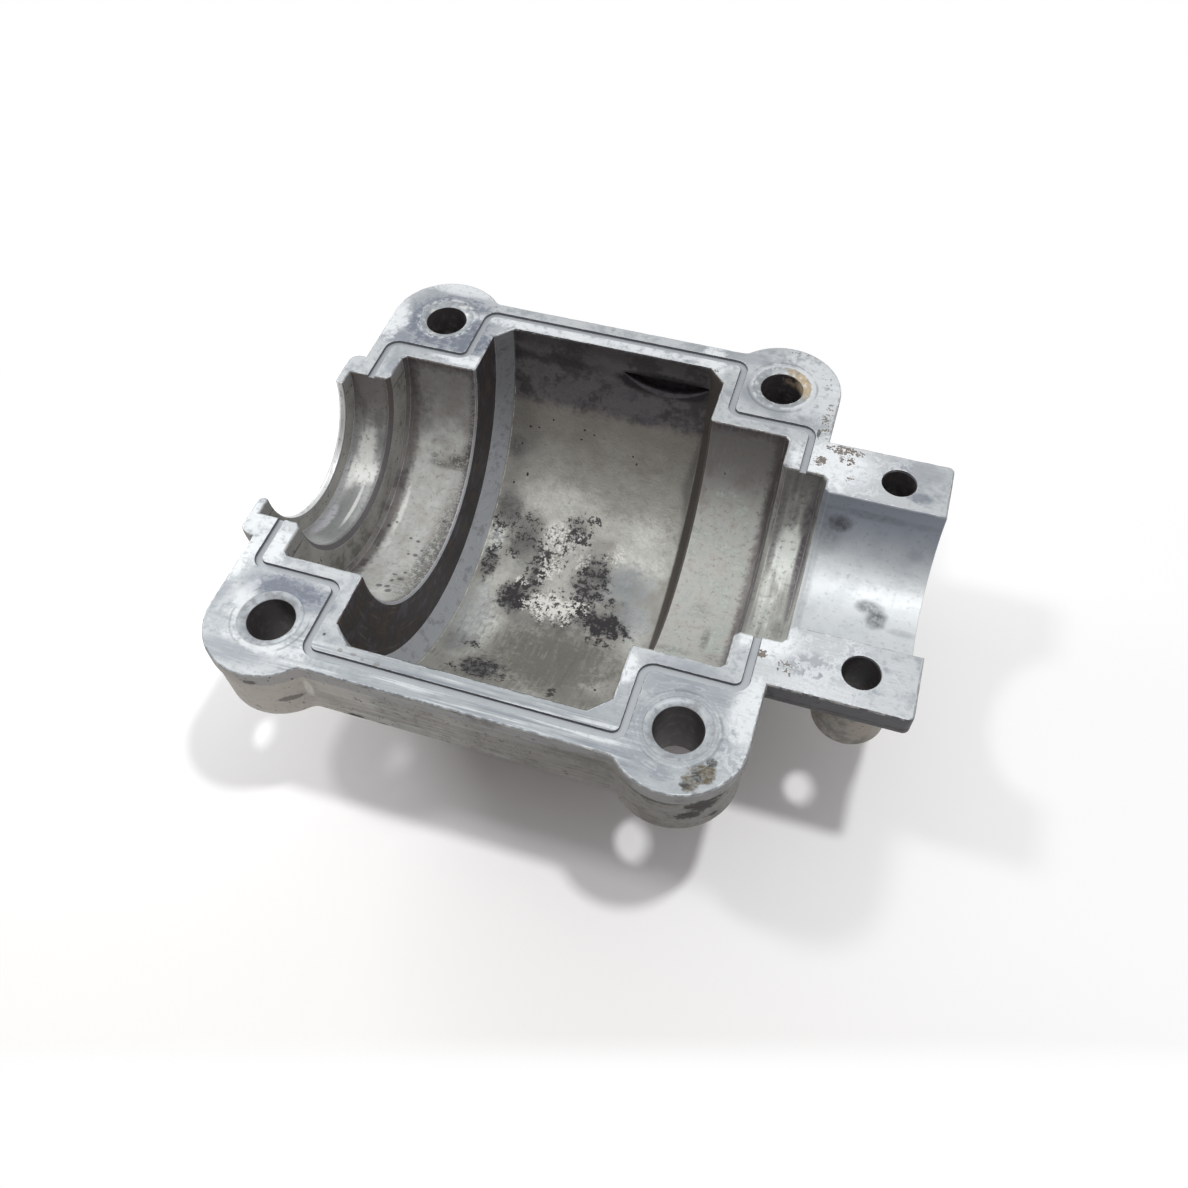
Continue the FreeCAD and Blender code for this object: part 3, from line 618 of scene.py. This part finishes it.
def sealMetal():
    look = sealLook
    shade = Shade("sealMetal", look["base"], 0.3, 0.5)
    x = shade.x
    turn = shade.turn()
    unrolled = shade.vector(x, turn * look["perDegree"], 0.0)
    streak = shade.noise(0.6, 2.0, 0.55, place=unrolled, stretch=(1, 40, 1))
    grain = shade.noise(0.7, 3.0, 0.7, place=unrolled, shift=(1, 6, 0))
    blot = shade.noise(1.3, 3.0, 0.65, place=unrolled, stretch=(1, 2.5, 1), shift=(5, 2, 0))
    ragged = (grain - 0.5) * 3.0 + (blot - 0.5) * 2.4
    right = shade.step(x, *look["rightFrom"])
    left = 1 - right
    shade.layer(right, look["landBase"], 0.2, 0.55)
    shade.layer(right * shade.step(streak * 0.6 + blot * 0.4, 0.5, 0.62) * 0.5, look["landDark"], 0.2, 0.55)
    landPale = right * shade.patches(x, turn, look["landPale"], ragged, 0.95)
    shade.layer(landPale * 0.8, look["landBright"], 0.25, 0.5)
    landPale = right * shade.step(streak * 0.5 + blot * 0.5, 0.48, 0.38)
    shade.layer(landPale * 0.5, look["landBright"], 0.25, 0.5)
    landMarks = shade.patches(x, turn, look["landMarks"], ragged * 0.6, 0.9)
    shade.layer(right * landMarks * (0.65 + shade.step(grain, 0.4, 0.6) * 0.2), look["dark"], 0.2, 0.5)
    landShade = right * shade.step(turn + (grain - 0.5) * 30, *look["landShade"])
    shade.layer(landShade * 0.65, look["dark"], 0.2, 0.5)
    shade.layer(left * shade.step(streak * 0.6 + blot * 0.4, 0.5, 0.64) * 0.5, look["streak"])
    pool = shade.patches(x, turn, look["poolSpots"], ragged * 0.8, 0.9)
    shade.layer(left * pool * 0.8, look["green"], 0.3, 0.45)
    polish = shade.patches(x, turn, look["polishSpots"], ragged * 0.4, 0.5)
    shade.layer(left * polish * 0.8, look["polish"], 0.4, 0.4)
    # painted highlight: light spots on the seal bore
    shade.layer(left * shade.patches(x, turn, look["highlightSpots"], ragged * 0.6, 0.9) * 0.8, look["bright"])
    corner = left * shade.step(x + (grain - 0.5) * 0.8, *look["cornerFrom"])
    shade.layer(corner * 0.85, look["dark"], 0.2, 0.45)
    brown = left * shade.step(turn + (grain - 0.5) * 24, *look["brownFrom"])
    shade.layer(brown * 0.75, look["brown"], 0.2, 0.5)
    shade.layer(shade.step(grain, 0.54, 0.66) * 0.4, look["dark"], 0.2, 0.6)
    shade.layer(shade.rim() * shade.step(grain, 0.36, 0.6) * 0.2, look["bright"], 0.3, 0.5)
    shade.height = grain * 0.04 + streak * 0.015
    return shade.done()


lipLook = {
    "base": (192, 194, 193), "dark": (84, 81, 88), "spot": (104, 102, 100), "cloud": (150, 152, 154),
    "edge": (232, 232, 230), "faceFrom": (-32.16, -32.04), "perDegree": 0.18,
}


def lipMetal():
    look = lipLook
    shade = Shade("lipMetal", look["base"], 0.4, 0.42)
    unrolled = shade.vector(shade.x, shade.turn() * look["perDegree"], shade.reach())
    grain = shade.noise(0.8, 3.0, 0.68, place=unrolled)
    face = shade.step(shade.x, *look["faceFrom"])
    shade.layer(face * 0.9, look["dark"], 0.25, 0.45)
    shade.layer(shade.step(grain, 0.5, 0.64) * 0.5, look["cloud"])
    shade.layer(shade.step(grain, 0.62, 0.7) * (1 - face) * 0.7, look["spot"], 0.1, 0.6)
    shade.layer(shade.rim() * (1 - face) * 0.6, look["edge"], 0.5, 0.35)
    shade.height = grain * 0.05
    return shade.done()


earLook = {
    "base": (198, 202, 203), "cloud": (176, 182, 186), "upper": (124, 130, 141), "smudge": (78, 81, 86),
    "bright": (222, 225, 226), "upperFrom": (24, 76), "perDegree": 0.175,
    "smudges": [(34.6, 66, 1.4, 8.0, 1.5), (33.4, 60, 2.2, 14.0, 0.6), (41.6, 3, 1.2, 8.0, 1.1),
                (40.6, 11, 1.4, 5.0, 0.9), (45.0, -4, 1.6, 3.0, 0.4), (44.4, 54, 1.0, 4.0, 0.4),
                (32.7, 10, 0.5, 40.0, 0.4), (39.0, 77, 9.0, 3.0, 0.5)],
    "paintedHighlights": [(42.0, 22, 5.0, 6.0, 0.5)],
}


def earBoreMetal():
    look = earLook
    shade = Shade("earBoreMetal", look["base"], 0.35, 0.55)
    x = shade.x
    turn = shade.turn()
    unrolled = shade.vector(x, turn * look["perDegree"], 0.0)
    cloud = shade.noise(3.0, 3.0, 0.6, place=unrolled)
    grain = shade.noise(0.7, 3.0, 0.65, place=unrolled, shift=(6, 2, 0))
    ragged = (grain - 0.5) * 2.4 + (cloud - 0.5) * 3.6
    shade.layer(shade.step(cloud, 0.45, 0.68) * 0.45, look["cloud"])
    # painted shade: the bore darkens from 24 to 76 degrees up its far side
    shade.layer(shade.step(turn + (cloud - 0.5) * 12, *look["upperFrom"]) * 0.9, look["upper"], 0.35, 0.5)
    # painted highlight low on the far side of the bore
    shade.layer(shade.patches(x, turn, look["paintedHighlights"], ragged, 0.95) * 0.8, look["bright"])
    smudged = shade.patches(x, turn, look["smudges"], ragged, 0.98)
    shade.layer(smudged * (0.5 + shade.step(grain, 0.4, 0.6) * 0.35), look["smudge"], 0.25, 0.55)
    shade.layer(shade.step(grain, 0.56, 0.7) * 0.25, look["smudge"], 0.3, 0.55)
    shade.layer(shade.rim() * 0.12, look["bright"], 0.4, 0.45)
    shade.height = cloud * 0.08 + grain * 0.03
    return shade.done()


# The casting's mesh: a merged copy of the solid with its sharp edges rounded

castingMesh = {
    "outlineRadius": 0.25, "outlineSegments": 3, "edgeRadius": 0.07, "edgeSegments": 2,
    "sharpEdge": 31.0, "creaseAngle": 55.0, "mergeWithin": 0.002, "flatWithin": 0.5,
    "nickStep": 1.3, "nickDepth": 0.09, "nickScale": 900, "nickShare": 0.1,
}
# where each finish lies: wide is the distance along the crank axis, reach the distance from it
castingZones = {
    "boltReach": 3.9, "boltHole": 2.9, "earReach": 2.3, "grooveReach": 11.0,
    "chamberWide": 16.2, "chamberWall": 15.8, "chamberReach": 28.3, "chamberEnd": 17.0,
    "hollowWide": 15.5, "hollowY": (20, 30), "hollowZ": (-9, -0.6), "hollowReach": 29.6,
    "besideHollow": 24, "besideReach": 28.2,
    "seatWide": 26.6, "seatReach": (16.0, 17.9), "shoulderWide": 26.8, "shoulderReach": (13.2, 17.6),
    "sealWide": 32.1, "sealReach": (11.6, 13.6), "endFrom": 31.0,
    "lipReach": 10.9, "lipFace": (10.0, 12.9), "earBoreReach": 10.8, "earFace": 12.8,
}
finishes = [castSkinMetal, splitFaceMetal, grooveMetal, boltHoleMetal, chamberMetal, shoulderMetal,
            seatMetal, sealMetal, lipMetal, earBoreMetal]
skin, split, groove, bolt, chamber, shoulder, seat, seal, lip, ear = range(len(finishes))


def within(value, limits):
    return limits[0] < value < limits[1]


def inHollow(middle):
    zone = castingZones
    return (abs(middle.x) < zone["hollowWide"] and within(middle.y, zone["hollowY"])
            and within(middle.z, zone["hollowZ"]) and middle.yz.length < zone["hollowReach"])


def finishOf(face):
    # the finish of one face of the solid, from where it lies and the way it faces
    zone = castingZones
    middle = face.calc_center_median() / mm
    normal = face.normal
    lowest = min(corner.co.z for corner in face.verts) / mm
    wide = abs(middle.x)
    reach = math.hypot(middle.y, middle.z)
    fromBolt = math.hypot(wide - boltPlace[0], abs(middle.y) - boltPlace[1])
    fromEar = math.hypot(middle.x - earPlace[0], abs(middle.y) - earPlace[1])
    inward = -(normal.y * middle.y + normal.z * middle.z) / max(reach, 0.001) > 0.2
    across = abs(normal.x) > 0.95
    upright = abs(normal.z) < 0.1
    if normal.z > 0.99 and lowest > -0.02:
        return split
    ofBolt = within(normal.z, (0.1, 0.98)) or fromBolt < zone["boltHole"] and upright
    if fromBolt < zone["boltReach"] and ofBolt:
        return bolt
    if fromEar < zone["earReach"] and upright:
        return bolt
    onGroove = abs(lowest + grooveDepth) < 0.01 and (upright or normal.z > 0.99)
    if onGroove and reach > zone["grooveReach"]:
        return groove
    if inHollow(middle):
        return chamber
    beside = middle.y > zone["besideHollow"] and reach < zone["besideReach"]
    ofChamber = inward or across and reach > zone["chamberEnd"] or beside
    if wide < zone["chamberWide"] and reach < zone["chamberReach"] and ofChamber:
        return shoulder if across and wide > zone["chamberWall"] else chamber
    if wide < zone["seatWide"] and within(reach, zone["seatReach"]) and inward:
        return seat
    if wide < zone["shoulderWide"] and across and within(reach, zone["shoulderReach"]):
        return shoulder
    if wide < zone["sealWide"] and within(reach, zone["sealReach"]) and inward:
        return seal
    ofLip = inward and reach < zone["lipReach"] or across and normal.x > 0 and within(reach, zone["lipFace"])
    if middle.x < -zone["endFrom"] and ofLip:
        return lip
    ofEar = inward and reach < zone["earBoreReach"] or across and normal.x < 0
    if middle.x > zone["endFrom"] and reach < zone["earFace"] and ofEar:
        return ear
    return skin


def isSharp(edge):
    return edge.is_manifold and edge.calc_face_angle(0) > math.radians(castingMesh["sharpEdge"])


def isPlain(edge, rim):
    # an edge that no rounding has touched yet
    return not any(face[rim] > 0.5 for face in edge.link_faces)


def isOutline(edge, rim=None):
    # an edge of the split face that is no hole's or groove's
    if any(abs(corner.co.z) > 0.01 * mm for corner in edge.verts):
        return False
    kinds = [face.material_index for face in edge.link_faces]
    return split in kinds and groove not in kinds and bolt not in kinds


def wearOutline(work):
    # divides the long runs of the outline and pushes the new corners slightly into the metal
    look = castingMesh
    added = []
    for edge in [edge for edge in work.edges if isSharp(edge) and isOutline(edge)]:
        start = edge.verts[0]
        for left in range(int(edge.calc_length() / (look["nickStep"] * mm)), 0, -1):
            corner = bmesh.utils.edge_split(edge, start, 1 / (left + 1))[1]
            edge = next(other for other in corner.link_edges if start not in other.verts)
            start = corner
            added.append(corner)
    for corner in added:
        wall = next(face for face in corner.link_faces if abs(face.normal.z) < 0.9)
        push = max(noise.noise(corner.co * look["nickScale"]) + look["nickShare"], 0) * look["nickDepth"] * mm
        corner.co -= Vector((wall.normal.x, wall.normal.y, 0)) * push


def roundEdges(work, rim):
    # the outline with a worn radius first, then every other sharp edge with a fine one
    look = castingMesh
    rounds = ((isOutline, look["outlineRadius"], look["outlineSegments"], "SHARP"),
              (isPlain, look["edgeRadius"], look["edgeSegments"], "ARC"))
    for wanted, radius, segments, mitre in rounds:
        sharp = [edge for edge in work.edges if isSharp(edge) and wanted(edge, rim)]
        made = bmesh.ops.bevel(work, geom=sharp, offset=radius * mm, offset_type="OFFSET",
                               segments=segments, profile=0.5, affect="EDGES", clamp_overlap=False,
                               miter_outer=mitre, material=-1)   # -1 keeps the neighbour's finish
        for face in made["faces"]:
            face[rim] = 0.0 if inHollow(face.calc_center_median() / mm) else 1.0


def shadeEvenly(mesh):
    # smooth shading that flat faces keep flat, baked into a plain mesh
    mesh.shade_smooth()
    mesh.set_sharp_from_angle(angle=math.radians(castingMesh["creaseAngle"]))
    piece = bpy.data.objects.new("casting", mesh)
    scene.collection.objects.link(piece)
    even = piece.modifiers.new("evenShading", "WEIGHTED_NORMAL")
    even.keep_sharp = True
    shaped = bpy.data.meshes.new_from_object(piece.evaluated_get(bpy.context.evaluated_depsgraph_get()))
    piece.modifiers.remove(even)
    piece.data = shaped
    return piece


def copyCasting():
    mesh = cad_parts["lower_crankcase"].data.copy()
    mesh.name = "dressedCasting"
    mesh.materials.clear()
    work = bmesh.new()
    work.from_mesh(mesh)
    bmesh.ops.remove_doubles(work, verts=work.verts, dist=castingMesh["mergeWithin"] * mm)
    bmesh.ops.dissolve_limit(work, angle_limit=math.radians(castingMesh["flatWithin"]),
                             verts=work.verts, edges=work.edges)
    rim = work.faces.layers.float.new("rim")
    for face in work.faces:
        face.material_index = finishOf(face)
    wearOutline(work)
    roundEdges(work, rim)
    work.to_mesh(mesh)
    work.free()
    for layer in list(mesh.uv_layers):
        mesh.uv_layers.remove(layer)
    if mesh.has_custom_normals:
        mesh.attributes.remove(mesh.attributes["custom_normal"])
    for finish in finishes:
        mesh.materials.append(finish())
    return shadeEvenly(mesh)


casting = copyCasting()
counts = [0] * len(finishes)
for polygon in casting.data.polygons:
    counts[polygon.material_index] += 1
print("casting dressed,", len(casting.data.polygons), "faces,", counts)

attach(casting, "root")
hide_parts("lower_crankcase")


# Table, light and camera

stageLook = {
    "floorHalf": 2000, "floorTone": (247, 247, 247), "nearShadeTone": (238, 238, 236), "nearFrom": (-20, -60),
    "fadeMiddle": (8, -8), "fade": (62, 125), "farFade": (30, 56), "nearFade": (-57.5, -62),
    "nearSlope": 0.314,
    "lampAim": (10, -5, -15),   # each lamp: place, width and watts
    "keyLamp": ((65, -11, 235), 18, 0.305),
    "sideLamp": ((-114, -30, 218), 32, 0.145),
    "leftLamp": ((-130, 50, 50), 60, 0.09),
    "skyBright": (0.68, 0.68, 0.69), "skyDark": (0.18, 0.152, 0.156), "skyRange": (-0.3, 0.75),
    "skyLean": (0.0, 0.75, 0.66),
}


def makeFloor():
    # a table that takes the casting's shadow near it, is painted slightly darker towards the near side as
    # shade, and is plain white further out
    look = stageLook
    half = look["floorHalf"] * mm
    low = cadLow.z
    mesh = bpy.data.meshes.new("table")
    mesh.from_pydata([(-half, -half, low), (half, -half, low), (half, half, low), (-half, half, low)],
                     [], [(0, 1, 2, 3)])
    table = bpy.data.objects.new("table", mesh)
    scene.collection.objects.link(table)
    shade = Shade("tableWhite", look["floorTone"], 0.0, 0.8)
    x, y = shade.x, shade.y
    # painted shade: the table's tone darkens towards the near side
    shade.layer(shade.step(y, *look["nearFrom"]), look["nearShadeTone"])
    away = shade.span(x - look["fadeMiddle"][0], y - look["fadeMiddle"][1])
    far = shade.most([shade.step(away, *look["fade"]), shade.step(y, *look["farFade"]),
                      shade.step(y - x * look["nearSlope"], *look["nearFade"])])
    ray = shade.node("ShaderNodeLightPath")
    seen = shade.most([Field(shade, ray.outputs[kind])
                       for kind in ("Is Camera Ray", "Is Glossy Ray", "Is Transmission Ray")])
    white = shade.node("ShaderNodeEmission", {}, {"Color": (1, 1, 1), "Strength": 1.0})
    mesh.materials.append(shade.done())
    mixed = shade.node("ShaderNodeMixShader", {},
                       {0: far * seen, 1: shade.body.outputs[0], 2: white.outputs[0]})
    feed(shade.tree, shade.out.inputs[0], mixed.outputs[0])


def makeLamp(name):
    place, size, power = stageLook[name]
    data = bpy.data.lights.new(name, "AREA")
    data.shape = "DISK"
    data.size = size * mm
    data.energy = power
    lamp = bpy.data.objects.new(name, data)
    lamp.location = Vector(place) * mm
    aim = Vector(stageLook["lampAim"]) * mm - lamp.location
    lamp.rotation_euler = aim.to_track_quat("-Z", "Y").to_euler()
    scene.collection.objects.link(lamp)


def makeWorld():
    # pale overhead and behind, darker on the near side; white where the camera looks past the table
    look = stageLook
    world = bpy.data.worlds.new("paleRoom")
    world.use_nodes = True
    tree = world.node_tree
    tree.nodes.clear()
    way = addNode(tree, "ShaderNodeTexCoord").outputs["Generated"]
    lean = addNode(tree, "ShaderNodeVectorMath", {"operation": "DOT_PRODUCT"}, {0: way, 1: look["skyLean"]})
    low, high = look["skyRange"]
    ramp = addNode(tree, "ShaderNodeMapRange", {"interpolation_type": "SMOOTHSTEP"},
                   {"Value": lean.outputs["Value"], "From Min": low, "From Max": high})
    tone = addNode(tree, "ShaderNodeMix", {"data_type": "RGBA"},
                   {0: ramp.outputs[0], 6: look["skyDark"], 7: look["skyBright"]})
    sky = addNode(tree, "ShaderNodeBackground", {}, {0: tone.outputs[2]})
    white = addNode(tree, "ShaderNodeBackground", {}, {0: (1, 1, 1)})
    ray = addNode(tree, "ShaderNodeLightPath")
    mixed = addNode(tree, "ShaderNodeMixShader", {},
                    {0: ray.outputs["Is Camera Ray"], 1: sky.outputs[0], 2: white.outputs[0]})
    addNode(tree, "ShaderNodeOutputWorld", {}, {0: mixed.outputs[0]})
    scene.world = world


cameraView = {
    "place": (32.47, -76.84, 97.36), "target": (10.07, -12.41, 0.0), "roll": -1.887,
    "lens": 31.97, "sensor": 36.0, "nearest": 10,
}


def makeCamera():
    look = cameraView
    data = bpy.data.cameras.new("view")
    data.sensor_width = look["sensor"]
    data.lens = look["lens"]
    data.clip_start = look["nearest"] * mm
    camera = bpy.data.objects.new("view", data)
    place = Vector(look["place"]) * mm
    towards = Vector(look["target"]) * mm - place
    turn = towards.to_track_quat("-Z", "Y").to_matrix().to_4x4()
    roll = Matrix.Rotation(math.radians(look["roll"]), 4, "Z")
    camera.matrix_world = Matrix.Translation(place) @ turn @ roll
    scene.collection.objects.link(camera)
    scene.camera = camera


makeFloor()
for lamp in ("keyLamp", "sideLamp", "leftLamp"):
    makeLamp(lamp)
makeWorld()
makeCamera()
scene.view_settings.view_transform = "Standard"
print("table, lamps and camera made")
